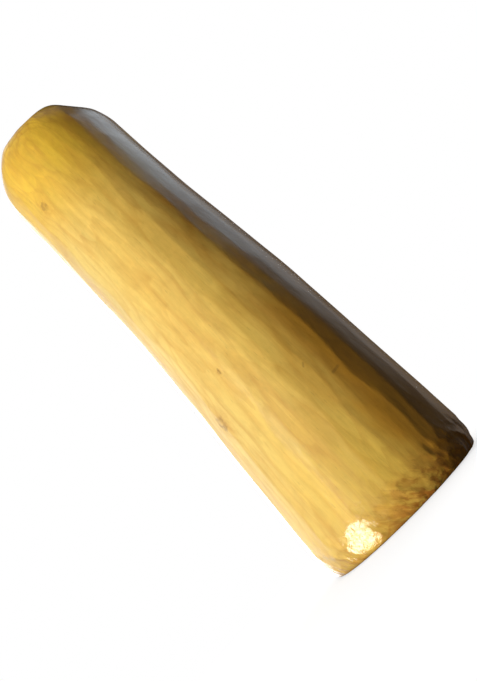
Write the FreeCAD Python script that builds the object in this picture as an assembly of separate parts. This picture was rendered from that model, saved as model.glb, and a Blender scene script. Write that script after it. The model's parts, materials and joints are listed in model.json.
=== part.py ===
import FreeCAD, Part

# A short, stout didgeridoo carved from a split log, in millimetres.
#
# The log is sawn lengthwise into a front and a back half, the bore is gouged out of both, and the halves are
# glued together again. A drawknife then leaves long narrow facets all the way round. The mouth end is rounded
# over, so that the player's lips reach a ring of beeswax that is pressed into the throat.
#
# Frame: origin at the centre of the bell's end face, +Z along the bore towards the mouthpiece.
# The log is split along the plane Y = 0; the front half is on the -Y side.

import math
import os

Vector = FreeCAD.Vector

# ---- driving dimensions: the wood ----
LENGTH = 460.0  # bell face to the flat of the mouth end
BELL_RADIUS = 75.0
LOWER_WAIST = 0.928  # the log's radius a third of the way up, as a share of the bell's
UPPER_WAIST = 0.848  # and two thirds of the way up
MOUTH_SHARE = 0.846  # and at the mouth end, if that weren't rounded over
SWAY = 3.8  # how far the middle of the log bows out towards +X

# ---- driving dimensions: the two rounded ends ----
SHOULDER_HEIGHT = 51.5  # along the bore, at the mouth end
SHOULDER_WIDTH = 33.7  # across the bore
BELL_EDGE_HEIGHT = 22.0
BELL_EDGE_WIDTH = 5.9

# ---- driving dimensions: the carving ----
FACETS = 34
FACET_UNEVENNESS = 0.28  # how much wider or narrower one facet is than the mean
SIDE_CUTS = 8  # lengths of facet along the side
SHOULDER_CUTS = 7
BELL_EDGE_CUTS = 5

# ---- driving dimensions: the bore ----
BELL_BORE_RADIUS = 60.0
BELL_BORE_STRAIGHT = 25.0  # the even stretch inside the bell
CHAMBER_RADIUS = 46.0  # halfway up the bore
CHAMBER_Z = 245.0
THROAT_RADIUS = 19.0
THROAT_LENGTH = 40.0

# ---- driving dimensions: the glue line and the beeswax mouthpiece ----
GLUE_THICKNESS = 0.3
WAX_BORE_RADIUS = 15.0
WAX_LIP_RADIUS = 24.5
WAX_LIP_HEIGHT = 6.0  # above the wood
WAX_DEPTH = 18.0  # down the throat
WAX_FEATHER = 4.0  # the slope that thins the ring's lower edge out to the throat wall


def sway_at(z):
    """How far the log's own middle lies from the straight bore, towards +X."""
    return SWAY * math.sin(math.pi * z / LENGTH)


def side_curve():
    """The log's side before the ends are rounded over, as a curve in (radius, 0, z)."""
    shares = (1.0, LOWER_WAIST, UPPER_WAIST, MOUTH_SHARE)
    step = LENGTH / (len(shares) - 1)
    curve = Part.BSplineCurve()
    curve.interpolate([Vector(BELL_RADIUS * s, 0, i * step) for i, s in enumerate(shares)])
    return curve


def side_radius(z):
    """The side's radius at a height."""
    level = Part.Plane(Vector(0, 0, z), Vector(0, 0, 1))
    hits = side_curve().intersect(level)[0]
    return hits[0].X


def rounding(radius, width, z_flat, z_side, cuts):
    """(radius, z) stations of a quarter ellipse, from an end's flat face to where it meets the side."""
    stations = []
    for i in range(cuts):
        angle = math.pi / 2 * i / cuts
        r = radius - width * (1 - math.sin(angle))
        z = z_side + (z_flat - z_side) * math.cos(angle)
        stations.append((r, z))
    return stations


def stations():
    """(radius, z) of every ring of corners, from the bell face up to the mouth face."""
    low, high = BELL_EDGE_HEIGHT, LENGTH - SHOULDER_HEIGHT
    bell_edge = rounding(side_radius(low), BELL_EDGE_WIDTH, 0.0, low, BELL_EDGE_CUTS)
    heights = [low + (high - low) * i / SIDE_CUTS for i in range(SIDE_CUTS + 1)]
    side = [(side_radius(z), z) for z in heights]
    shoulder = rounding(side_radius(high), SHOULDER_WIDTH, LENGTH, high, SHOULDER_CUTS)
    return bell_edge + side + shoulder[::-1]


def facet_angles():
    """The angle of each facet's leading corner. The widths vary as hand-cut ones do, and add up to a full turn."""
    widths = [1.0 + FACET_UNEVENNESS * math.sin(2.4 * i) for i in range(FACETS)]
    turn = 2 * math.pi / sum(widths)
    angles = [0.0]
    for width in widths[:-1]:
        angles.append(angles[-1] + width * turn)
    return angles


def ring(radius, z):
    """The corners of one ring of the carved log. Rings share their angles, so each facet between two rings is flat."""
    x = sway_at(z)
    return [Vector(x + radius * math.cos(a), radius * math.sin(a), z) for a in facet_angles()]


def carved_log():
    """The log's outside as a closed solid, with its facets and no bore."""
    rings = [ring(r, z) for r, z in stations()]
    faces = [Part.Face(Part.makePolygon(end + end[:1])) for end in (rings[0], rings[-1])]
    for lower, upper in zip(rings, rings[1:]):
        for i in range(FACETS):
            j = (i + 1) % FACETS
            corners = [lower[i], lower[j], upper[j], upper[i], lower[i]]
            faces.append(Part.Face(Part.makePolygon(corners)))
    log = Part.Solid(Part.Shell(faces))
    if log.Volume < 0:
        log.reverse()
    return log


def turned(edges):
    """A solid turned about the bore from a closed outline of edges in (radius, 0, z)."""
    face = Part.Face(Part.Wire(Part.__sortEdges__(edges)))
    return face.revolve(Vector(0, 0, 0), Vector(0, 0, 1), 360)


def bore():
    """The air column: even inside the bell, narrowing in one sweep up to the throat."""
    throat_z = LENGTH - THROAT_LENGTH
    bell = Vector(BELL_BORE_RADIUS, 0, 0)
    bell_top = Vector(BELL_BORE_RADIUS, 0, BELL_BORE_STRAIGHT)
    chamber = Vector(CHAMBER_RADIUS, 0, CHAMBER_Z)
    throat = Vector(THROAT_RADIUS, 0, throat_z)
    mouth = Vector(THROAT_RADIUS, 0, LENGTH)
    low, high = Vector(0, 0, 0), Vector(0, 0, LENGTH)
    sweep = Part.Arc(bell_top, chamber, throat).toShape()
    lines = [(low, bell), (bell, bell_top), (throat, mouth), (mouth, high), (high, low)]
    return turned([Part.makeLine(a, b) for a, b in lines] + [sweep])


def slab(y_low, y_high):
    """A box across the whole log, between two planes parallel to the split."""
    reach = 2 * BELL_RADIUS
    corner = Vector(-reach, y_low, -reach)
    return Part.makeBox(2 * reach, y_high - y_low, LENGTH + 2 * reach, corner)


def mouthpiece_ring():
    """The beeswax ring: a plug down the throat with a rounded lip on the wood."""
    lip_top = LENGTH + WAX_LIP_HEIGHT
    foot_z = LENGTH - WAX_DEPTH
    lip_middle = (WAX_BORE_RADIUS + WAX_LIP_RADIUS) / 2
    roll = WAX_LIP_HEIGHT / 2
    inner_foot = Vector(WAX_BORE_RADIUS, 0, foot_z)
    inner_top = Vector(WAX_BORE_RADIUS, 0, lip_top - roll)
    crown = Vector(lip_middle, 0, lip_top)
    outer_top = Vector(WAX_LIP_RADIUS, 0, lip_top - roll)
    outer_foot = Vector(WAX_LIP_RADIUS - 1.0, 0, LENGTH)
    throat_top = Vector(THROAT_RADIUS, 0, LENGTH)
    throat_foot = Vector(THROAT_RADIUS, 0, foot_z - WAX_FEATHER)
    lines = [
        (inner_foot, inner_top),
        (outer_top, outer_foot),
        (outer_foot, throat_top),
        (throat_top, throat_foot),
        (throat_foot, inner_foot),
    ]
    return turned([Part.makeLine(a, b) for a, b in lines] + [Part.Arc(inner_top, crown, outer_top).toShape()])


def build():
    """Every sub-part by name."""
    wood = carved_log().cut(bore())
    half_glue = GLUE_THICKNESS / 2
    return {
        "front_half": wood.common(slab(-2 * BELL_RADIUS, -half_glue)),
        "back_half": wood.common(slab(half_glue, 2 * BELL_RADIUS)),
        "seam_glue": wood.common(slab(-half_glue, half_glue)),
        "mouthpiece_ring": mouthpiece_ring(),
    }


os.makedirs("parts", exist_ok=True)
for node, shape in build().items():
    if not shape.isValid() or shape.Volume <= 0:
        raise ValueError(node + " isn't a sound solid")
    print(node, len(shape.Solids), "solids", round(shape.Volume / 1000, 1), "cm3")
    shape.exportStep("parts/" + node + ".step")
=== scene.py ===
"""The looks of a short, stout, hand-carved didgeridoo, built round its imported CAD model.

The row frame is in metres: the bell's end face lies on z = 0 and +Z runs along the bore to the mouthpiece.
The shapes below are worked out in millimetres, and scaled by MM when a mesh is made.
"""

import json
import math

import bmesh
import bpy
import numpy as np
from mathutils import Matrix, Vector

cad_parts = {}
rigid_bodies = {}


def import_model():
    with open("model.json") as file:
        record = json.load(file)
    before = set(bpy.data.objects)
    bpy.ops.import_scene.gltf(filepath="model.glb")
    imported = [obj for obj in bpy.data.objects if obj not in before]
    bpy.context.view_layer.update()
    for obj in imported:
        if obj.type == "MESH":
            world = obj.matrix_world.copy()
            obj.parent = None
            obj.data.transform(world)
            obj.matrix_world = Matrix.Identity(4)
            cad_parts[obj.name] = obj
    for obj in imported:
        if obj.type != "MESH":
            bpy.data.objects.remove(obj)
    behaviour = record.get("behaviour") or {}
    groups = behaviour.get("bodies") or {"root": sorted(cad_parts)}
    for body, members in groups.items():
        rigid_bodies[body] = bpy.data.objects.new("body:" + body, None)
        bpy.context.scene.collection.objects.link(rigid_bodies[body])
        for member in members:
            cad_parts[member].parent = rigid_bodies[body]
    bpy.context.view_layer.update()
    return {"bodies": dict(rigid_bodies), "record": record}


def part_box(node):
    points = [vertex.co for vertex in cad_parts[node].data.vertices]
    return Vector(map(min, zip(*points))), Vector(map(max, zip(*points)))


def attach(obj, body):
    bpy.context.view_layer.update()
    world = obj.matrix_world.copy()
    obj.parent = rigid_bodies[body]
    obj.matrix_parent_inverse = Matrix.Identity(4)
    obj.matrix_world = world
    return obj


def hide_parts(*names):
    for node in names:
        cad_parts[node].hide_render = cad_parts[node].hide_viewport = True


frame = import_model()

MM = 0.001
TURN = 2 * math.pi


# ================================================================ sizes

def high_corner(node):
    """A CAD node's highest corner, in millimetres."""
    return np.array(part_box(node)[1]) / MM


def mount_size(name, key):
    """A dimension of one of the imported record's mounts, in millimetres."""
    mount = next(m for m in frame["record"]["mounts"] if m["name"] == name)
    return mount["dims"][key]


LENGTH = high_corner("front_half")[2]
WAX_TOP = high_corner("mouthpiece_ring")[2]
WAX_LIP = high_corner("mouthpiece_ring")[0]
HALF_GLUE = high_corner("seam_glue")[1]
BELL_BORE = mount_size("bell_bore", "r_mm")
BELL_BORE_STRAIGHT = mount_size("bell_bore", "length_mm")
WAX_BORE = mount_size("mouthpiece_bore", "r_mm")
WAX_DEPTH = 18.0  # down the throat
WAX_MIDDLE = (WAX_BORE + WAX_LIP) / 2
WAX_FEATHER = 4.0  # the slope that thins the ring's lower edge out to the throat wall

# The log's outline follows the CAD's, and adds three slighter bends to its one bow.
BELL_RADIUS = 75.0
WAIST_SHARES = (1.0, 0.928, 0.848, 0.846)  # the radius at even steps up the log, as shares of the bell's
BENDS = (3.9, 0.2, -0.35, -0.5)  # how far it bends towards +X: as one bow, then two, three and four swings
SHOULDER_HEIGHT, SHOULDER_WIDTH = 51.5, 33.7
BELL_EDGE_HEIGHT, BELL_EDGE_WIDTH = 22.0, 5.9
THROAT, THROAT_LENGTH = 19.0, 40.0
CHAMBER, CHAMBER_Z = 46.0, 245.0  # the bore's radius halfway up, and that height
BORE_EDGE = 0.9  # the rounding between the bore and the bell's face

COLUMNS = 440  # mesh columns round the whole log
LANES = 40  # lanes of drawknife cuts round the log
DRAWKNIFE_STOP = 52  # how far short of the mouth's flat those cuts stop, along the skin
BARE = 0.6  # the "inside" value of wood with no lacquer left on it; the bore's is 1


# ================================================================ the outline of the log

def smooth(x, low, high):
    """0 at low and 1 at high, with a soft turn at both."""
    t = np.clip((x - low) / (high - low), 0, 1)
    return t * t * (3 - 2 * t)


def sway_at(z):
    """How far the log's own middle lies from the straight bore, towards +X."""
    share = np.clip(z, 0, LENGTH) / LENGTH
    return sum(bend * np.sin((i + 1) * math.pi * share) for i, bend in enumerate(BENDS))


def side_radius(z):
    """The log's radius at a height, before its ends are rounded over."""
    heights = np.linspace(0, LENGTH, len(WAIST_SHARES))
    return np.polyval(np.polyfit(heights, BELL_RADIUS * np.array(WAIST_SHARES), 3), z)


def bore_radius(z):
    """The bore's radius: even inside the bell, then one arc through the chamber to the throat."""
    r = np.array([BELL_BORE, CHAMBER, THROAT])
    h = np.array([BELL_BORE_STRAIGHT, CHAMBER_Z, LENGTH - THROAT_LENGTH])
    centre_r, centre_h, rest = np.linalg.solve(np.stack([2 * r, 2 * h, np.ones(3)], 1), r**2 + h**2)
    reach = rest + centre_r**2 + centre_h**2
    level = np.clip(z, h[0], h[2])
    return centre_r + np.sqrt(reach - (level - centre_h) ** 2)


def outer_profile():
    """(radius, z) rows up the outside, from the bell's rim to the flat of the mouth end."""
    low, high = BELL_EDGE_HEIGHT, LENGTH - SHOULDER_HEIGHT
    edge = np.linspace(math.pi / 2, 0, 32)
    bell_r = side_radius(low) - BELL_EDGE_WIDTH * (1 - np.cos(edge))
    bell_z = low * (1 - np.sin(edge))
    side_z = np.linspace(low, high, 222)[1:-1]
    turn = np.linspace(0, math.pi / 2, 42)
    shoulder_r = side_radius(high) - SHOULDER_WIDTH * (1 - np.cos(turn))
    shoulder_z = high + SHOULDER_HEIGHT * np.sin(turn)
    radii = np.concatenate([bell_r, side_radius(side_z), shoulder_r])
    heights = np.concatenate([bell_z, side_z, shoulder_z])
    return radii, heights


def along(radii, heights):
    """The distance travelled along a profile, and its outward normals as (radial, z)."""
    step = np.hypot(np.diff(radii), np.diff(heights))
    station = np.concatenate([[0], np.cumsum(step)])
    dr, dz = np.gradient(radii, station), np.gradient(heights, station)
    size = np.hypot(dr, dz)
    return station, dz / size, -dr / size


# ================================================================ tool cuts
#
# Each cut of a drawknife or gouge is a shallow dish. The wood that is left at any point lies on the deepest
# dish there, so neighbouring cuts meet in the crisp, wandering ridges of hand-carved work.

SMOOTHEST = math.radians(200)  # where round the log the chips are shallowest
BROAD_CHIP_ANGLE, BROAD_CHIP_STATION = math.radians(242), 12.0  # the place of the widest chip

# Broad flats chopped on the mouth's shoulder: the angle in degrees, the height, and the depth of each.
CHOPS = (
    (259, 455.5, 3.2), (274, 456, 4.1), (316, 456, 0.7), (327, 440, 2.4), (212, 446, 1.3),
    (12, 446, 2.6), (58, 450, 3.0), (108, 447, 2.2), (150, 451, 2.8), (186, 446, 2.2),
)


def cut(angle, station, depth, lean, reach, across, lengthwise, tone):
    """One cut: its middle, depth, lean off the log's length, straight reach, and its two curvatures.

    A station is a distance along the skin from its first row. The tone is how pale the cut leaves the wood.
    """
    return {
        "angle": angle,
        "station": station,
        "depth": depth,
        "lean": lean,
        "reach": reach,
        "across": across,
        "lengthwise": lengthwise,
        "tone": tone,
    }


def drawknife_cuts(rng, lanes, low, high, shortest, longest, curvature, depth):
    """Long cuts in lanes side by side, each lane made of several cuts end to end."""
    cuts = []
    for lane in range(lanes):
        middle = (lane + rng.uniform(-0.3, 0.3)) * TURN / lanes
        station = low - rng.uniform(0, longest)
        while station < high:
            length = rng.uniform(shortest, longest)
            ragged_end = high + rng.uniform(-14, 4)
            length = min(length, ragged_end - station)
            cuts.append(cut(
                angle=middle + rng.uniform(-0.22, 0.22) * TURN / lanes,
                station=station + length / 2,
                depth=-depth + rng.uniform(-0.16, 0.16),
                lean=rng.uniform(-0.03, 0.03),
                reach=max(length / 2, 5),
                across=curvature * rng.uniform(0.9, 1.15),
                lengthwise=1 / rng.uniform(200, 700),
                tone=rng.uniform(-1, 1),
            ))
            station += max(length, 20) * rng.uniform(0.8, 1.0)
    return cuts


def chip_cuts(rng, count, low, high, depth, lean, across, lengthwise, reach):
    """Short chips all the way round one end, between two stations, and shallower on the SMOOTHEST side."""
    cuts = []
    for i in range(count):
        angle = (i + rng.uniform(-0.4, 0.4)) * TURN / count
        cuts.append(cut(
            angle=angle,
            station=rng.uniform(low, high),
            depth=-rng.uniform(*depth) * (1 - 0.6 * max(0, math.cos(angle - SMOOTHEST))),
            lean=rng.uniform(*lean),
            reach=rng.uniform(*reach),
            across=across,
            lengthwise=lengthwise,
            tone=rng.uniform(-1, 1),
        ))
    return cuts


def broad_chip(flat):
    """The widest chip on the bell's edge: a flat that catches the light as one bright patch."""
    return cut(
        angle=BROAD_CHIP_ANGLE,
        station=BROAD_CHIP_STATION,
        depth=-1.6,
        lean=-0.35,
        reach=2.0,
        across=flat * 1.6,
        lengthwise=1 / 38,
        tone=0.3,
    )


def chop_cuts(heights, station):
    """The broad flats that took the mouth's shoulder down, before it was smoothed."""
    on_shoulder = heights > LENGTH - SHOULDER_HEIGHT
    return [cut(
        angle=math.radians(angle),
        station=np.interp(height, heights[on_shoulder], station[on_shoulder]),
        depth=-depth,
        lean=0.0,
        reach=0.0,
        across=1 / 62,
        lengthwise=1 / 42,
        tone=0.0,
    ) for angle, height, depth in CHOPS]


def soft_min(a, b, softness):
    """The smaller of two levels, rounded over where they meet."""
    gap = np.minimum(np.abs(a - b) / softness, 50)
    return np.minimum(a, b) - softness * np.log1p(np.exp(-gap))


def carve(cuts, angles, stations, radii, softness, wander=0.0, uncut=0.3):
    """How deep the cuts go on a grid of stations by angles, how near each point is to a ridge, and its tone.

    Where no cut reaches, the surface stays at the uncut level. The softness rounds over the ridges between
    cuts, and the wander shifts every cut sideways, both in millimetres.
    """
    # At every point, first is the deepest level that any cut has reached so far, and second is the next.
    shape = (len(stations), len(angles))
    first = np.full(shape, uncut)
    second = np.full(shape, uncut + 1.0)
    tone_first = np.zeros(shape)
    tone_second = np.zeros(shape)
    for c in cuts:
        turn = (angles[None, :] - c["angle"] + math.pi) % TURN - math.pi
        side = turn * radii[:, None] + wander
        run = (stations - c["station"])[:, None] + 0 * side
        cos, sin = math.cos(c["lean"]), math.sin(c["lean"])
        across = side * cos - run * sin
        past = np.maximum(np.abs(side * sin + run * cos) - c["reach"], 0)
        level = c["depth"] + c["across"] * across**2 / 2 + c["lengthwise"] * past**2 / 2
        nearer = level < first
        beaten = np.where(nearer, first, level)
        takes_second = beaten < second
        tone_second = np.where(takes_second, np.where(nearer, tone_first, c["tone"]), tone_second)
        second = np.where(takes_second, beaten, second)
        tone_first = np.where(nearer, c["tone"], tone_first)
        first = np.where(nearer, level, first)
    gap = np.minimum((second - first) / softness, 50)
    share = 0.5 * np.exp(-gap)
    tone = tone_first * (1 - share) + tone_second * share
    return soft_min(first, second, softness), np.exp(-gap), tone


def lumps(rng, angles, stations, size, shortest, longest, most_turns=6, waves=9):
    """A gentle unevenness, made of waves that close up round the log."""
    total = np.zeros((len(stations), len(angles)))
    for _ in range(waves):
        turns = rng.integers(1, most_turns)
        pitch = TURN / rng.uniform(shortest, longest) * rng.choice([-1, 1])
        total += np.sin(turns * angles[None, :] + pitch * stations[:, None] + rng.uniform(0, TURN))
    return total * size / math.sqrt(waves)


# ================================================================ the log's skin

def outside_cuts(rng, end):
    """Every cut on the outside but the chops, from the bell's rim at station 0 to the mouth's flat."""
    flat = 1 / BELL_RADIUS  # the curvature that takes the log's roundness off again, and leaves a flat
    facet = BELL_RADIUS * TURN / LANES
    cuts = drawknife_cuts(rng, LANES, low=0, high=end - DRAWKNIFE_STOP, shortest=60, longest=190,
                          curvature=flat, depth=flat * (facet / 2) ** 2 / 2)
    cuts += chip_cuts(rng, count=44, low=13, high=23, depth=(0.5, 1.1), lean=(-1.1, -0.5), across=flat * 4.5,
                      lengthwise=1 / 45, reach=(3, 8))
    cuts += chip_cuts(rng, count=56, low=5, high=15, depth=(0.6, 1.4), lean=(-1.1, -0.5), across=flat * 7,
                      lengthwise=1 / 34, reach=(3, 8))
    cuts += chip_cuts(rng, count=50, low=0, high=7, depth=(0.5, 1.3), lean=(-1.0, -0.3), across=flat * 7,
                      lengthwise=1 / 26, reach=(2, 6))
    cuts += chip_cuts(rng, count=24, low=end - 62, high=end - 34, depth=(0.25, 0.6), lean=(-0.4, 0.4),
                      across=flat * 1.1, lengthwise=1 / 70, reach=(3, 12))
    cuts.append(broad_chip(flat))
    return cuts


def outside_skin(angles):
    """The carved outside: points as (rows, columns, 3), and the ridge, tone, rim and bare values of each."""
    rng = np.random.default_rng(41)
    radii, heights = outer_profile()
    station, normal_r, normal_z = along(radii, heights)
    end = station[-1]
    cuts = outside_cuts(rng, end)
    wander = lumps(rng, angles, station, size=1.5, shortest=40, longest=140, most_turns=15, waves=14)

    # The chips on the bell's edge wander more than the long facets do. Their ridges are crisper, and are
    # painted wider.
    jitter = lumps(rng, angles, station, size=0.9, shortest=7, longest=20, most_turns=60, waves=16)
    wander += jitter * smooth(station, 34, 18)[:, None]
    softness = 0.09 + 0.07 * smooth(station, 20, 45)[:, None]
    level, ridge, tone = carve(cuts, angles, station, radii, softness, wander)
    ridge **= smooth(station, 16, 34)[:, None] * 0.7 + 0.3

    chops = carve(chop_cuts(heights, station), angles, station, radii, softness=0.5, uncut=20.0)[0]
    level = soft_min(level, chops, softness=0.8)
    level += lumps(rng, angles, station, size=0.22, shortest=70, longest=260) + 0.25
    fade = smooth(station, 0, 2.5) * smooth(end - station, 0, 6)
    level *= (0.12 + 0.88 * fade)[:, None]
    r = radii[:, None] + level * normal_r[:, None]
    z = np.clip(heights[:, None] + level * normal_z[:, None], 0, LENGTH)
    x = r * np.cos(angles) + sway_at(heights)[:, None]
    points = np.stack([x, r * np.sin(angles), z], -1)
    rim = np.maximum(1 - station / 3.0, 1 - (end - station) / 5.0).clip(0, 1)
    bare = BARE * smooth(station, 3.0, 1.0)
    return points, ridge, tone, rim[:, None] + 0 * ridge, bare[:, None] + 0 * ridge


def mouth_flat(angles, edge):
    """The rows across the flat of the mouth end, from the outside in to the throat."""
    rows = []
    for share in (0.25, 0.5, 0.75):
        row = edge * (1 - share)
        row[:, 0] += share * THROAT * np.cos(angles)
        row[:, 1] += share * THROAT * np.sin(angles)
        row[:, 2] = LENGTH
        rows.append(row)
    return np.stack(rows)


def bore_skin(angles):
    """The gouged bore from the throat down to the bell."""
    rng = np.random.default_rng(77)
    turned_edge = np.linspace(0, math.pi / 2, 5)[1:-1]
    down_bore = np.linspace(LENGTH, 5, 118)
    heights = np.concatenate([down_bore, [3.2, 1.9, 1.1], BORE_EDGE * (1 - np.sin(turned_edge))])
    radii = bore_radius(heights)
    radii[-3:] += BORE_EDGE * (1 - np.cos(turned_edge))
    station = LENGTH - heights
    cuts = drawknife_cuts(rng, lanes=20, low=0, high=LENGTH, shortest=40, longest=120, curvature=0.030,
                          depth=0.9)
    level, ridge, tone = carve(cuts, angles, station, radii, softness=0.1, uncut=0.0)
    fade = smooth(station, THROAT_LENGTH - 4, THROAT_LENGTH + 30) * smooth(heights, 4, BELL_BORE_STRAIGHT + 8)
    r = radii[:, None] - level * fade[:, None]
    points = np.stack([r * np.cos(angles), r * np.sin(angles), heights[:, None] + 0 * r], -1)
    return points, ridge, tone


def bell_face(inner, outer):
    """The rows across the bell's end face, from the bore out to the rim."""
    rows = []
    for share in (0.0, 0.25, 0.5, 0.75):
        row = inner * (1 - share) + outer * share
        row[:, 2] = 0
        if share == 0:
            row[:, :2] *= (BELL_BORE + BORE_EDGE) / np.linalg.norm(row[:, :2], axis=1, keepdims=True)
        rows.append(row)
    return np.stack(rows)


def log_skin():
    """The whole skin as one closed loop of rows, with its painted values by name.

    The ridge is how near a ridge between two cuts is, and the tone is how pale the cut left the wood. The
    rim is how near a darkened edge is, and inside is how bare of lacquer the wood is.
    """
    angles = np.linspace(0, TURN, COLUMNS + 1)
    outside, ridge, tone, rim, bare = outside_skin(angles)
    bore, bore_ridge, bore_tone = bore_skin(angles)
    flat = mouth_flat(angles, outside[-1])
    face = bell_face(bore[-1], outside[0])
    parts = (outside, flat, bore, face)
    values = {
        "ridge": [ridge, np.zeros(flat.shape[:2]), bore_ridge, np.zeros(face.shape[:2])],
        "tone": [tone, np.zeros(flat.shape[:2]), bore_tone, np.zeros(face.shape[:2])],
        "rim": [rim, np.full(flat.shape[:2], 0.6), np.zeros(bore.shape[:2]), np.full(face.shape[:2], 0.2)],
        "inside": [bare, np.zeros(flat.shape[:2]), np.ones(bore.shape[:2]), np.full(face.shape[:2], BARE)],
    }
    return np.concatenate(parts), {name: np.concatenate(v) for name, v in values.items()}


# ================================================================ meshes

def make_piece(name, points, faces, values=None, smooth_angle=38):
    """A new mesh object from points in millimetres, with point values for its material to read."""
    mesh = bpy.data.meshes.new(name)
    mesh.from_pydata([tuple(p) for p in np.asarray(points) * MM], [], faces)
    for key, data in (values or {}).items():
        layer = mesh.attributes.new(key, "FLOAT", "POINT")
        layer.data.foreach_set("value", np.ascontiguousarray(data, np.float32))
    work = bmesh.new()
    work.from_mesh(mesh)
    bmesh.ops.recalc_face_normals(work, faces=work.faces)
    large = [f for f in work.faces if len(f.verts) > 4]
    bmesh.ops.triangulate(work, faces=large)
    work.to_mesh(mesh)
    work.free()
    mesh.shade_smooth()
    mesh.set_sharp_from_angle(angle=math.radians(smooth_angle))
    piece = bpy.data.objects.new(name, mesh)
    bpy.context.scene.collection.objects.link(piece)
    return piece


def half_log(name, skin, values, side):
    """One half of the log: side is -1 for the half at -Y, and 1 for the half at +Y."""
    middle = COLUMNS // 2
    pick = slice(0, middle + 1) if side > 0 else slice(middle, COLUMNS + 1)
    grid = skin[:, pick].copy()
    grid[..., 1] = side * np.maximum(side * grid[..., 1], HALF_GLUE)
    rows, columns = grid.shape[:2]
    index = np.arange(rows * columns).reshape(rows, columns)
    faces = []
    for i in range(rows):
        a, b = index[i], index[(i + 1) % rows]
        faces += [(a[j], a[j + 1], b[j + 1], b[j]) for j in range(columns - 1)]
    faces += [tuple(index[:, 0]), tuple(index[:, -1])]
    faces = [tuple(int(v) for v in f) for f in faces]
    picked = {key: data[:, pick].ravel() for key, data in values.items()}
    return make_piece(name, grid.reshape(-1, 3), faces, picked)


def glue_lines(skin):
    """The two strips of glue that fill the split, flush with the wood all round."""
    points, faces = [], []
    for column in (0, COLUMNS // 2):
        loop = skin[:, column]
        n, start = len(loop), len(points)
        for y in (-HALF_GLUE, HALF_GLUE):
            points += [(p[0], y, p[2]) for p in loop]
        faces += [tuple(range(start, start + n)), tuple(range(start + n, start + 2 * n))]
        for i in range(n):
            j = (i + 1) % n
            faces.append((start + i, start + j, start + n + j, start + n + i))
    return make_piece("seam_glue_line", points, faces)


def wax_profile():
    """(radius, z) rows round the wax: up its hole, over its lip, and down its outside to the foot."""
    half = (WAX_LIP - WAX_BORE) / 2
    foot = LENGTH - WAX_DEPTH
    lip = WAX_TOP - LENGTH
    crown = np.linspace(math.pi, 0, 20)
    profile = [(WAX_BORE, z) for z in np.linspace(foot, LENGTH + lip * 0.35, 14)]
    roll = [(WAX_MIDDLE + half * math.cos(a), 0.42 + 0.58 * math.sin(a) ** 0.8) for a in crown]
    profile += [(r, LENGTH + lip * share) for r, share in roll]
    profile += [(WAX_LIP - 0.1, LENGTH + lip * 0.25), (WAX_LIP - 0.5, LENGTH + 0.1), (WAX_LIP - 1.5, LENGTH)]
    profile += [(THROAT + 1, LENGTH), (THROAT - 0.05, LENGTH - 0.5)]
    profile += [(THROAT - 0.05, z) for z in np.linspace(LENGTH - 4, foot - WAX_FEATHER, 6)]
    return profile


def wax_ring():
    """The beeswax mouthpiece, pressed into the throat and moulded by hand round its lip."""
    rng = np.random.default_rng(5)
    segments = 176
    angles = np.linspace(0, TURN, segments, endpoint=False)
    phase = rng.uniform(0, TURN, 8)
    dents = 0.55 * np.sin(3 * angles + phase[0]) + 0.4 * np.sin(7 * angles + phase[1])
    dents += 0.3 * np.sin(13 * angles + phase[2]) + 0.2 * np.sin(19 * angles + phase[3])
    sag = 0.4 * np.sin(2 * angles + phase[4]) + 0.3 * np.sin(5 * angles + phase[5])
    rows = []
    for r, z in wax_profile():
        free = smooth(z, LENGTH + 0.4, LENGTH + 3.0)
        outward = smooth(r, WAX_MIDDLE - 1, WAX_LIP)
        inner_wave = free * (1 - outward) * 0.1 * np.sin(5 * angles)
        radius = r - free * outward * 0.55 * (1 + dents * 0.6) + inner_wave
        height = z - free * 0.5 * (0.7 + sag)
        rows.append(np.stack([radius * np.cos(angles), radius * np.sin(angles), height + 0 * angles], 1))
    count = len(rows)
    faces = []
    for i in range(count):
        k = (i + 1) % count
        for j in range(segments):
            m = (j + 1) % segments
            faces.append((i * segments + j, i * segments + m, k * segments + m, k * segments + j))
    return make_piece("beeswax_mouthpiece", np.concatenate(rows), faces, smooth_angle=60)


# ================================================================ materials

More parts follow.
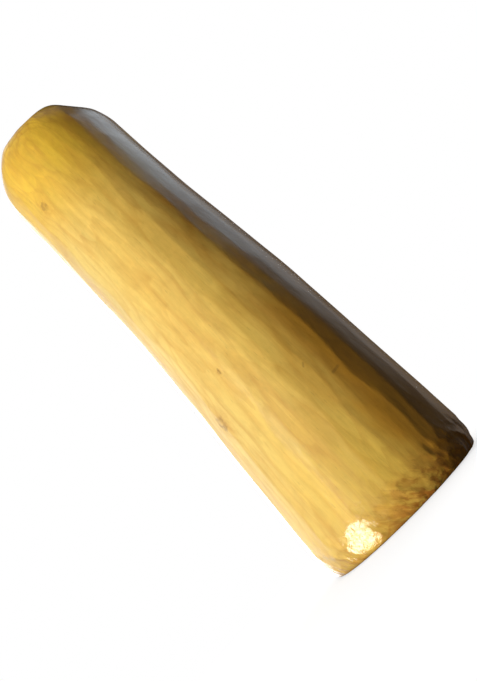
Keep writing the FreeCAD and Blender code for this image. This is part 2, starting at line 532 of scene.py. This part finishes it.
class Nodes:
    """A short way to write the node tree of a material or a world."""

    def __init__(self, owner):
        owner.use_nodes = True
        self.owner = owner
        self.tree = owner.node_tree
        self.tree.nodes.clear()

    def add(self, kind, inputs=None, **settings):
        """A node. Inputs may be values, or outputs of other nodes."""
        node = self.tree.nodes.new(kind)
        for key, value in settings.items():
            setattr(node, key, value)
        for key, value in (inputs or {}).items():
            if isinstance(value, bpy.types.NodeSocket):
                self.tree.links.new(value, node.inputs[key])
            else:
                node.inputs[key].default_value = value
        return node

    def math(self, operation, a, b=0.0, c=0.0, clamp=False):
        return self.add("ShaderNodeMath", {0: a, 1: b, 2: c}, operation=operation, use_clamp=clamp).outputs[0]

    def vector(self, operation, a, b=(0, 0, 0)):
        return self.add("ShaderNodeVectorMath", {0: a, 1: b}, operation=operation).outputs[0]

    def noise(self, where, scale, detail=3.0, roughness=0.55, distortion=0.0):
        return self.add("ShaderNodeTexNoise", {
            "Vector": where,
            "Scale": scale,
            "Detail": detail,
            "Roughness": roughness,
            "Distortion": distortion,
        }).outputs["Fac"]

    def height_of(self, a):
        """A vector's Z."""
        return self.add("ShaderNodeSeparateXYZ", {0: a}).outputs["Z"]

    def size(self, a):
        """How long a vector is."""
        return self.add("ShaderNodeVectorMath", {0: a}, operation="LENGTH").outputs["Value"]

    def dot(self, a, b):
        return self.add("ShaderNodeVectorMath", {0: a, 1: b}, operation="DOT_PRODUCT").outputs["Value"]

    def bump(self, height, strength, distance, inputs=None):
        """A normal that shows a height. The strength is a share, and the distance is in metres."""
        inputs = {"Height": height, "Strength": strength, "Distance": distance, **(inputs or {})}
        return self.add("ShaderNodeBump", inputs).outputs[0]

    def ramp(self, value, low, high, out_low=0.0, out_high=1.0):
        """The value's run from low to high, turned softly into a run from out_low to out_high."""
        inputs = {"Value": value, "From Min": low, "From Max": high, "To Min": out_low, "To Max": out_high}
        node = self.add("ShaderNodeMapRange", inputs, interpolation_type="SMOOTHSTEP", clamp=True)
        return node.outputs["Result"]

    def mix(self, factor, a, b, blend="MIX"):
        """One colour mixed into another. A Mix node's colours are its inputs 6 and 7 and its output 2."""
        node = self.add("ShaderNodeMix", data_type="RGBA", blend_type=blend)
        for socket, value in ((node.inputs[0], factor), (node.inputs[6], a), (node.inputs[7], b)):
            if isinstance(value, bpy.types.NodeSocket):
                self.tree.links.new(value, socket)
            else:
                socket.default_value = value
        return node.outputs[2]

    def painted(self, name):
        """A value painted on the mesh's points."""
        return self.add("ShaderNodeAttribute", attribute_name=name).outputs["Fac"]

    def millimetres(self):
        """The place on the object, in millimetres."""
        where = self.add("ShaderNodeTexCoord").outputs["Object"]
        return self.vector("MULTIPLY", where, (1 / MM, 1 / MM, 1 / MM))

    def finish(self, surface, output="ShaderNodeOutputMaterial"):
        """Joins the surface to the output, and gives back the material or world."""
        self.add(output, {"Surface": surface})
        return self.owner


def new_material(name):
    return Nodes(bpy.data.materials.new(name))


def grey(value):
    return (value, value, value, 1)


# Each knot: its angle round the log in degrees, its height, its radius, and how dark it is.
KNOTS = (
    (220, 133.5, 4.6, 0.8),
    (234, 370, 3.6, 0.7),
    (245, 157.5, 1.2, 0.9),
    (120, 210, 6.0, 0.9),
    (40, 320, 4.0, 0.8),
)

# Each nick: its angle round the log in degrees, its height, half its length, half its width, and its slant.
NICKS = (
    (296, 100, 5.5, 1.5, 0.2),
    (284, 117, 2.6, 1.0, 0.9),
    (245.5, 158, 3.4, 1.0, 1.5),
    (205, 250, 3.0, 0.9, 0.5),
    (75, 180, 4.0, 1.2, 0.3),
)

RING_SPACING = 2.6  # between growth rings
# The wood is painted paler on its lit side, and redder and darker on its shaded +X side: painted light and
# shade along this way across the log.
PAINTED_SHADE_SIDE = (0.87, -0.50, 0.0)  # the way across the log from its pale side to its red one
# The first colour is painted light on the lit side. The third and fourth are painted shade on the shaded +X
# side.
LIT_PALE = (0.745, 0.525, 0.138, 1)
GOLDEN = (0.775, 0.505, 0.100, 1)
SHADE_RUSSET = (0.58, 0.275, 0.024, 1)
SHADE_UMBER = (0.41, 0.190, 0.015, 1)
YELLOW = (0.79, 0.485, 0.034, 1)
AMBER = (0.52, 0.225, 0.028, 1)
ORANGE = (0.50, 0.175, 0.022, 1)
BROWN = (0.17, 0.068, 0.016, 1)


def place_on_side(angle, height):
    """The point of the log's side at an angle in degrees and a height."""
    turn = math.radians(angle)
    r = float(side_radius(height))
    return (r * math.cos(turn) + float(sway_at(height)), r * math.sin(turn), height)


def knot_marks(n, place):
    """The knots' dark rings, and the halos where the grain bends round them."""
    ring, halo = 0.0, 0.0
    for angle, height, radius, dark in KNOTS:
        offset = n.vector("SUBTRACT", place, place_on_side(angle, height))
        oval = n.vector("MULTIPLY", offset, (1, 1, 0.7))
        ragged = n.noise(place, 1.5 / radius, 3.0)
        away = n.math("MULTIPLY_ADD", n.math("SUBTRACT", ragged, 0.5), radius * 1.5, n.size(oval))
        inner = n.ramp(away, radius * 0.1, radius * 0.7, 0.5, 1.0)
        outer = n.ramp(away, radius * 0.6, radius * 1.25, dark, 0.0)
        gap = n.ramp(n.noise(place, 0.55 / radius, 1.0), 0.35, 0.55, 0.35, 1.0)
        outer = n.math("MULTIPLY", outer, gap)
        ring = n.math("MAXIMUM", ring, n.math("MULTIPLY", inner, outer))
        halo = n.math("MAXIMUM", halo, n.ramp(away, radius * 0.8, radius * 3.4, dark, 0.0))
    return ring, halo


def nick_marks(n, place):
    """Short dark nicks, where a tool slipped."""
    marks = 0.0
    for angle, height, length, width, lean in NICKS:
        turn = math.radians(angle)
        offset = n.vector("SUBTRACT", place, place_on_side(angle, height))
        across = (math.sin(turn) * math.sin(lean), -math.cos(turn) * math.sin(lean), math.cos(lean))
        line = n.ramp(n.math("ABSOLUTE", n.dot(offset, across)), width * 0.3, width, 1.0, 0.0)
        near = n.ramp(n.size(offset), length * 0.5, length, 1.0, 0.0)
        marks = n.math("MAXIMUM", marks, n.math("MULTIPLY", line, near))
    return marks


def growth_rings(n, place, halo):
    """Late wood of the growth rings, round a pith that runs a little off the bore."""
    wander = n.noise(n.vector("MULTIPLY", place, (1, 1, 0.22)), 0.018, 3.0, 0.5)
    pith = n.vector("SUBTRACT", place, (14.0, 22.0, 0.0))
    tilt = {"Vector": pith, "Axis": (1, 0.6, 0), "Angle": 0.045}
    leaning = n.add("ShaderNodeVectorRotate", tilt).outputs[0]
    radius = n.size(n.vector("MULTIPLY", leaning, (1, 1, 0)))
    wavy = n.math("MULTIPLY_ADD", wander, 34.0, radius)
    wavy = n.math("MULTIPLY_ADD", halo, 3.0, wavy)
    waver = n.noise(n.vector("MULTIPLY", place, (1, 1, 0.16)), 0.075, 2.0, 0.5)
    wavy = n.math("MULTIPLY_ADD", waver, 5.0, wavy)
    cycle = n.math("FRACT", n.math("DIVIDE", wavy, RING_SPACING))
    return n.math("MULTIPLY", n.ramp(cycle, 0.35, 0.92), n.ramp(cycle, 0.93, 1.0, 1.0, 0.0))


def wood_with_painted_light_and_shade(n, place, z):
    """The wood's colour with painted light and shade, and how far across the log a place is, from lit side to
    shaded.

    Painted paler on the lit side and redder on the shaded +X side, deepening to umber higher up; yellower
    towards both ends.
    """
    blotch = n.noise(n.vector("MULTIPLY", place, (1, 1, 0.4)), 0.021, 3.0, 0.55, 0.6)
    across_log = n.math("MULTIPLY_ADD", n.math("SUBTRACT", blotch, 0.5), 40.0, n.dot(place, PAINTED_SHADE_SIDE))
    # Painted light and shade: paler towards the lit side, and redder, then umber higher up, towards the
    # shaded +X side.
    colour = n.mix(n.ramp(across_log, -25, 32), LIT_PALE, GOLDEN)
    painted_shade_share = n.ramp(across_log, 49, 68)
    painted_shade_tint = n.mix(n.ramp(z, 60, 250), SHADE_RUSSET, SHADE_UMBER)
    colour = n.mix(painted_shade_share, colour, painted_shade_tint)
    mouth_end = n.ramp(z, LENGTH - 150, LENGTH - 60, 0.0, 0.85)
    bell_end = n.ramp(z, 10, 110, 0.35, 0.0)
    colour = n.mix(n.math("ADD", mouth_end, bell_end), colour, n.mix(painted_shade_share, YELLOW, painted_shade_tint))
    return colour, across_log


def chipped_share(n, z, across_log):
    """How strongly a place takes the stain of the chipped ends, most of all on the shaded +X side, deepening
    its painted shade.
    """
    by_height = n.math("MAXIMUM", n.ramp(z, 24, 48, 1.0, 0.2), n.ramp(z, LENGTH - 18, LENGTH - 5, 0.2, 0.9))
    return n.math("MULTIPLY", by_height, n.ramp(across_log, 2, 38, 0.25, 1.0))


def slanting_grain(n, place):
    """Streaks that slant as the chips on the bell's edge do."""
    slanting = n.add("ShaderNodeVectorRotate", {"Vector": place, "Axis": (0, 1, 0), "Angle": 0.8}).outputs[0]
    return n.noise(n.vector("MULTIPLY", slanting, (1, 1, 0.2)), 0.30, 4.0, 0.6, 0.6)


def cut_shade(n, place, fibre, tone, tone_depth):
    """A grey to multiply the colour by: fine fibres, soft mottling, and the tone that each tool cut left."""
    mottle = n.noise(n.vector("MULTIPLY", place, (1, 1, 0.55)), 0.16, 3.0, 0.6, 0.5)
    shade = n.math("MULTIPLY_ADD", n.math("SUBTRACT", fibre, 0.5), 0.27, 1.0)
    shade = n.math("MULTIPLY_ADD", n.math("SUBTRACT", mottle, 0.5), 0.30, shade)
    shade = n.math("MULTIPLY_ADD", tone, tone_depth, shade)
    return n.add("ShaderNodeCombineColor", {0: shade, 1: shade, 2: shade}).outputs[0]


def wood_colour(n, place, fibre, ridge, tone, rim, inside):
    """Grain, rings, knots and nicks over the wood's painted light and shade. End grain and chips are stained
    darker.
    """
    z = n.height_of(place)
    normal = n.add("ShaderNodeNewGeometry").outputs["Normal"]
    knot, halo = knot_marks(n, place)
    streak = n.noise(n.vector("MULTIPLY", place, (1, 1, 0.12)), 0.12, 4.0, 0.6, 0.8)
    pores = n.ramp(n.noise(n.vector("MULTIPLY", place, (1, 1, 0.12)), 1.0, 1.0, 0.4), 0.70, 0.80)
    # The wood's colour with light and shade painted across the log.
    colour, across_log = wood_with_painted_light_and_shade(n, place, z)

    # How far the surface cuts across the grain, towards the ends. End grain drinks lacquer, and darkens.
    facing = n.math("ABSOLUTE", n.height_of(normal))
    end_grain = n.ramp(facing, 0.11, 0.50)
    colour = n.mix(n.ramp(streak, 0.46, 0.72, 0.0, 0.27), colour, AMBER)
    late_wood = n.math("MULTIPLY", growth_rings(n, place, halo), n.ramp(end_grain, 0, 1, 0.20, 0.5))
    colour = n.mix(late_wood, colour, AMBER)
    chip_grain = slanting_grain(n, place)
    chipped = chipped_share(n, z, across_log)
    stain = n.ramp(n.math("MULTIPLY_ADD", tone, 0.07, chip_grain), 0.38, 0.58, 0.2, 1.0)
    at_ends = n.math("MULTIPLY_ADD", facing, 0.5, n.ramp(z, 0, 34, 0.75, 0.0), clamp=True)
    colour = n.mix(n.math("MULTIPLY", at_ends, n.math("MULTIPLY", stain, chipped)), colour, ORANGE)
    colour = n.mix(n.math("MULTIPLY", pores, 0.22), colour, BROWN)

    # Each tool cut leaves its own tone, plainest on the chips and the end grain.
    on_chips = n.ramp(z, 12, 30, 1.0, 0.0)
    tone_depth = n.ramp(n.math("MAXIMUM", end_grain, on_chips), 0, 1, 0.065, 0.13)
    colour = n.mix(1.0, colour, cut_shade(n, place, fibre, tone, tone_depth), "MULTIPLY")
    colour = n.mix(n.math("MULTIPLY", ridge, n.ramp(end_grain, 0, 1, 0.26, 0.55)), colour, AMBER)
    cracks = n.math("MULTIPLY", n.math("MULTIPLY", ridge, on_chips), chipped)
    colour = n.mix(n.math("MULTIPLY", cracks, n.ramp(chip_grain, 0.42, 0.62, 0.0, 0.5)), colour, BROWN)

    colour = n.mix(n.math("MULTIPLY", halo, 0.3), colour, AMBER)
    colour = n.mix(n.math("MULTIPLY", knot, 0.62), colour, BROWN)
    colour = n.mix(n.math("MULTIPLY", nick_marks(n, place), 0.36), colour, BROWN)
    colour = n.mix(n.ramp(rim, 0.35, 1.0, 0.0, 0.62), colour, BROWN)
    return n.mix(n.math("MULTIPLY", inside, 0.45), colour, BROWN)


def wood_material():
    """Pale golden wood under a clear lacquer, with redder painted shade on one side. The bell's face and the
    bore are bare.
    """
    n = new_material("lacquered_wood")
    place = n.millimetres()
    ridge, tone, rim, inside = (n.painted(k) for k in ("ridge", "tone", "rim", "inside"))
    fibre = n.noise(n.vector("MULTIPLY", place, (1, 1, 0.05)), 1.2, 4.0, 0.65)
    patch = n.noise(n.vector("ADD", place, (90, 40, 10)), 0.05, 3.0, 0.6, 0.5)
    ripple = n.noise(n.vector("MULTIPLY", place, (1, 1, 0.35)), 0.12, 2.0, 0.5)
    crinkle = n.noise(place, 0.38, 3.0, 0.6, 0.5)
    dents = n.bump(ripple, 0.35, 0.0012, {"Normal": n.bump(fibre, 0.2, 0.0004)})
    over_chips = n.ramp(n.height_of(place), 26, 50, 0.75, 0.1)
    coat_bump = n.bump(crinkle, over_chips, 0.0005, {"Normal": n.bump(ripple, 0.3, 0.0010)})
    shader = n.add("ShaderNodeBsdfPrincipled", {
        "Base Color": wood_colour(n, place, fibre, ridge, tone, rim, inside),
        "Roughness": n.ramp(fibre, 0.3, 0.7, 0.42, 0.6),
        "Specular IOR Level": n.ramp(inside, 0, BARE, 0.05, 0.0),
        "Normal": dents,
        "Coat Weight": n.ramp(inside, 0, BARE, 1.0, 0.0),
        "Coat Roughness": n.ramp(patch, 0.3, 0.7, 0.15, 0.24),
        "Coat IOR": 1.5,
        "Coat Normal": coat_bump,
    })
    return n.finish(shader.outputs[0])


def glue_material():
    """Dried wood glue: a thin amber-brown line."""
    n = new_material("dried_glue")
    mottle = n.noise(n.millimetres(), 0.5, 3.0)
    colour = n.mix(n.ramp(mottle, 0.35, 0.65), (0.36, 0.18, 0.05, 1), (0.18, 0.08, 0.025, 1))
    shader = n.add("ShaderNodeBsdfPrincipled", {
        "Base Color": colour,
        "Roughness": n.ramp(mottle, 0.3, 0.7, 0.22, 0.4),
        "Coat Weight": 0.6,
    })
    return n.finish(shader.outputs[0])


def wax_material():
    """Beeswax: warm, slightly translucent, with finger smears and a soft sheen."""
    n = new_material("beeswax")
    place = n.millimetres()
    cloud = n.noise(place, 0.09, 3.0, 0.5, 0.5)
    speck = n.noise(place, 0.9, 2.0)
    smear = n.noise(n.vector("MULTIPLY", place, (1, 1, 2.4)), 0.35, 3.0, 0.6)
    colour = n.mix(n.ramp(cloud, 0.3, 0.7), (0.66, 0.40, 0.12, 1), (0.46, 0.235, 0.05, 1))
    colour = n.mix(n.ramp(speck, 0.66, 0.75, 0.0, 0.5), colour, (0.22, 0.10, 0.03, 1))
    shader = n.add("ShaderNodeBsdfPrincipled", {
        "Base Color": colour,
        "Roughness": n.ramp(smear, 0.3, 0.7, 0.3, 0.5),
        "Normal": n.bump(smear, 0.4, 0.0006),
        "Subsurface Weight": 0.35,
        "Subsurface Radius": (0.006, 0.003, 0.001),
        "Subsurface Scale": 1.0,
        "Coat Weight": 0.15,
    })
    return n.finish(shader.outputs[0])


# ================================================================ the stage

def floor_material():
    """Plain pale matt floor that fades into the backdrop's white far away, and isn't there from below."""
    n = new_material("pale_floor")
    away = n.size(n.add("ShaderNodeTexCoord").outputs["Object"])
    matt = n.add("ShaderNodeBsdfDiffuse", {"Color": grey(0.86)}).outputs[0]
    white = n.add("ShaderNodeEmission", {"Color": grey(1.0)}).outputs[0]
    fading = n.ramp(away, 0.10, 0.6, 0.72, 1.0)
    faded = n.add("ShaderNodeMixShader", {0: fading, 1: matt, 2: white}).outputs[0]
    clear = n.add("ShaderNodeBsdfTransparent").outputs[0]
    from_below = n.add("ShaderNodeNewGeometry").outputs["Backfacing"]
    return n.finish(n.add("ShaderNodeMixShader", {0: from_below, 1: faded, 2: clear}).outputs[0])


def make_floor():
    """A large round floor, half a millimetre under the bell."""
    radius, segments = 4000.0, 96
    angles = np.linspace(0, TURN, segments, endpoint=False)
    points = np.stack([radius * np.cos(angles), radius * np.sin(angles), np.full(segments, -0.5)], 1)
    mesh = bpy.data.meshes.new("floor")
    mesh.from_pydata([tuple(p) for p in points * MM], [], [tuple(range(segments))])
    mesh.materials.append(floor_material())
    floor = bpy.data.objects.new("floor", mesh)
    bpy.context.scene.collection.objects.link(floor)
    floor.visible_glossy = False
    floor.visible_diffuse = False
    return floor


def place_towards(obj, place, target):
    """Puts a lamp or card at a place, facing a target."""
    obj.location = place
    obj.rotation_euler = (Vector(target) - Vector(place)).to_track_quat("-Z", "Y").to_euler()
    bpy.context.scene.collection.objects.link(obj)


def softbox(name, place, target, width, height, power, only_on=None):
    """A soft area lamp, seen neither by the camera nor in the lacquer. It may be kept to one object."""
    data = bpy.data.lights.new(name, "AREA")
    data.shape = "RECTANGLE"
    data.size, data.size_y = width, height
    data.energy = power
    lamp = bpy.data.objects.new(name, data)
    place_towards(lamp, place, target)
    lamp.visible_camera = False
    lamp.visible_glossy = False
    if only_on:
        lit = bpy.data.collections.new(name + "_lights")
        lit.objects.link(only_on)
        lamp.light_linking.receiver_collection = lit


CREAM = (1.0, 0.98, 0.86, 1)
HOOD_OPEN, HOOD_SHUT = math.radians(11), math.radians(17)  # the card fades out between these, off its axis


def highlight_card(name, place, target, radius, brightness):
    """A hooded bright disc with a ragged edge, mirrored only by the lacquer that it faces squarely."""
    n = new_material(name)
    where = n.add("ShaderNodeTexCoord").outputs["Object"]
    away = n.math("MULTIPLY_ADD", n.noise(where, 2.0 / radius, 4.0, 0.65), radius, n.size(where))
    brightness = n.ramp(away, radius * 1.1, radius * 1.3, brightness, 0.0)
    geometry = n.add("ShaderNodeNewGeometry").outputs
    hood = n.ramp(n.dot(geometry["Normal"], geometry["Incoming"]), math.cos(HOOD_SHUT), math.cos(HOOD_OPEN))
    glow = n.add("ShaderNodeEmission", {"Color": CREAM, "Strength": n.math("MULTIPLY", brightness, hood)})
    n.finish(glow.outputs[0])
    mesh = bpy.data.meshes.new(name)
    disc = bmesh.new()
    bmesh.ops.create_circle(disc, cap_ends=True, radius=radius, segments=48)
    disc.to_mesh(mesh)
    disc.free()
    mesh.materials.append(n.owner)
    card = bpy.data.objects.new(name, mesh)
    place_towards(card, place, target)
    card.visible_camera = False
    card.visible_diffuse = False
    card.visible_shadow = False
    card.visible_transmission = False


# The room that the lacquer mirrors. Azimuths are in degrees, 0 towards the camera and 90 towards +X.
WALL_BRIGHT, WALL_DIM, WALL_BEHIND = 1.0, 0.05, 0.6  # at the left, at the right, and more behind the log
WINDOW_AZIMUTH, WINDOW_WIDTH, WINDOW_BRIGHT = -157.0, 9.0, 4.0
SCREEN_EDGE, SCREEN_SLANT = 120.0, 58.0  # the azimuth of its nearer edge, and how that leans with height
SCREEN_WIDENING = 45.0  # how many degrees wider it is overhead than at eye level
SCREEN_BRIGHT, SCREEN_GROWTH = 0.265, 3.0  # its brightness at eye level, and how fast that grows with height
SCREEN_TINT = (0.90, 1.0, 1.09, 1)
AMBIENT_BRIGHT, AMBIENT_DIM = 0.13, 0.035  # the ambient light from the left and from the right


def room_reflection(n, x, y, z):
    """What the lacquer mirrors: a bright wall on the left, a window behind, and a pale screen on the right.

    Gives the brightness of the wall and window, then that of the screen. All of it dims high overhead, and
    the wall and window dim below the horizon too.
    """
    azimuth = n.math("DEGREES", n.math("ARCTAN2", x, n.math("MULTIPLY", y, -1.0)))
    behind = n.math("MULTIPLY", n.ramp(y, 0.05, 0.8, 0.0, WALL_BEHIND), n.ramp(x, -0.5, 0.0, 1.0, 0.0))
    wall = n.math("ADD", n.ramp(x, -0.35, 0.18, WALL_BRIGHT, WALL_DIM), behind)
    off_window = n.math("ABSOLUTE", n.math("SUBTRACT", azimuth, WINDOW_AZIMUTH))
    window = n.ramp(off_window, WINDOW_WIDTH - 3, WINDOW_WIDTH + 3, WINDOW_BRIGHT, 0.0)
    window = n.math("MULTIPLY", window, n.ramp(z, -0.30, -0.12))
    wall = n.math("MULTIPLY", wall, n.ramp(z, -0.45, -0.08, 0.12, 1.0))
    wall = n.math("MULTIPLY", n.math("ADD", wall, window), n.ramp(z, 0.35, 0.80, 1.0, 0.2))

    edge = n.math("MULTIPLY_ADD", z, -SCREEN_SLANT, SCREEN_EDGE)
    past = n.math("SUBTRACT", azimuth, edge)
    far_side = n.math("MULTIPLY_ADD", z, -SCREEN_WIDENING, past)
    screen = n.math("MULTIPLY", n.ramp(past, -17, 17), n.ramp(far_side, 9, 34, 1.0, 0.05))
    level = n.math("MULTIPLY", n.math("EXPONENT", n.math("MULTIPLY", z, SCREEN_GROWTH)), SCREEN_BRIGHT)
    return wall, n.math("MULTIPLY", n.math("MULTIPLY", screen, level), n.ramp(z, 0.64, 0.82, 1.0, 0.05))


def world_light():
    """White to the camera, a mirrored room to the lacquer, and a low, one-sided ambient light to all else."""
    world = bpy.data.worlds.new("studio")
    bpy.context.scene.world = world
    n = Nodes(world)
    direction = n.add("ShaderNodeTexCoord").outputs["Generated"]
    x, y, z = n.add("ShaderNodeSeparateXYZ", {0: direction}).outputs
    path = n.add("ShaderNodeLightPath").outputs
    ambient = n.ramp(x, -0.5, 0.6, AMBIENT_BRIGHT, AMBIENT_DIM)
    wall, screen = room_reflection(n, x, y, z)
    mirrored = n.math("ADD", wall, screen)
    seen = n.add("ShaderNodeMix", {0: path["Is Glossy Ray"], 2: ambient, 3: mirrored}).outputs[0]
    level = n.add("ShaderNodeMix", {0: path["Is Camera Ray"], 2: seen, 3: 1.0}).outputs[0]
    cool = n.math("MULTIPLY", n.math("MINIMUM", screen, 1.0), path["Is Glossy Ray"])
    colour = n.mix(cool, grey(1.0), SCREEN_TINT)
    background = n.add("ShaderNodeBackground", {"Color": colour, "Strength": level}).outputs[0]
    n.finish(background, "ShaderNodeOutputWorld")


def make_lights(floor):
    """Soft lamps, the card that the bell's edge mirrors, and the world's own light."""
    middle = (0, 0, 0.22)
    softbox("key", (-0.998, -1.053, 0.30), middle, 0.4, 0.9, 29.3)
    softbox("back_fill", (0.75, 1.25, 0.55), middle, 0.7, 0.9, 20)
    softbox("top_fill", (-0.3, 0.5, 1.9), middle, 1.6, 1.6, 8)
    softbox("floor_light", (-0.2, 0.2, 1.9), (0, 0, 0), 1.8, 1.8, 34, only_on=floor)
    highlight_card("bell_highlight", (-0.2884, -0.1952, -0.0849), (-0.0352, -0.0662, 0.011), 0.075, 34.0)
    world_light()


CAMERA_REACH = 0.4742  # metres in front of the bore
CAMERA_HEIGHT = 0.0398  # metres above the bell's end face
CAMERA_SHIFT = 0.0006  # metres towards +X
CAMERA_PITCH = 16.77  # degrees up towards the mouth end
CAMERA_ROLL = 45.11  # degrees, so that the log lies along the frame's diagonal
CAMERA_LENS = 31.72  # millimetres


def make_camera():
    """A close camera low in front of the log, which looks up along it."""
    data = bpy.data.cameras.new("camera")
    data.lens = CAMERA_LENS
    data.clip_start, data.clip_end = 0.01, 50
    camera = bpy.data.objects.new("camera", data)
    bpy.context.scene.collection.objects.link(camera)
    place = Matrix.Translation((CAMERA_SHIFT, -CAMERA_REACH, CAMERA_HEIGHT))
    pitch = Matrix.Rotation(math.radians(90 + CAMERA_PITCH), 4, "X")
    roll = Matrix.Rotation(math.radians(-CAMERA_ROLL), 4, "Z")
    camera.matrix_world = place @ pitch @ roll
    bpy.context.scene.camera = camera


# ================================================================ everything together

def finish_piece(piece, node, material):
    """Gives a piece its material and slot, and puts it in the place of its CAD node."""
    piece.data.materials.append(material)
    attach(piece, next(iter(frame["bodies"])))
    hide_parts(node)


skin, painted = log_skin()
wood = wood_material()
finish_piece(half_log("carved_front_half", skin, painted, -1), "front_half", wood)
finish_piece(half_log("carved_back_half", skin, painted, 1), "back_half", wood)
finish_piece(glue_lines(skin), "seam_glue", glue_material())
finish_piece(wax_ring(), "mouthpiece_ring", wax_material())

make_lights(make_floor())
make_camera()
bpy.context.scene.view_settings.view_transform = "Standard"
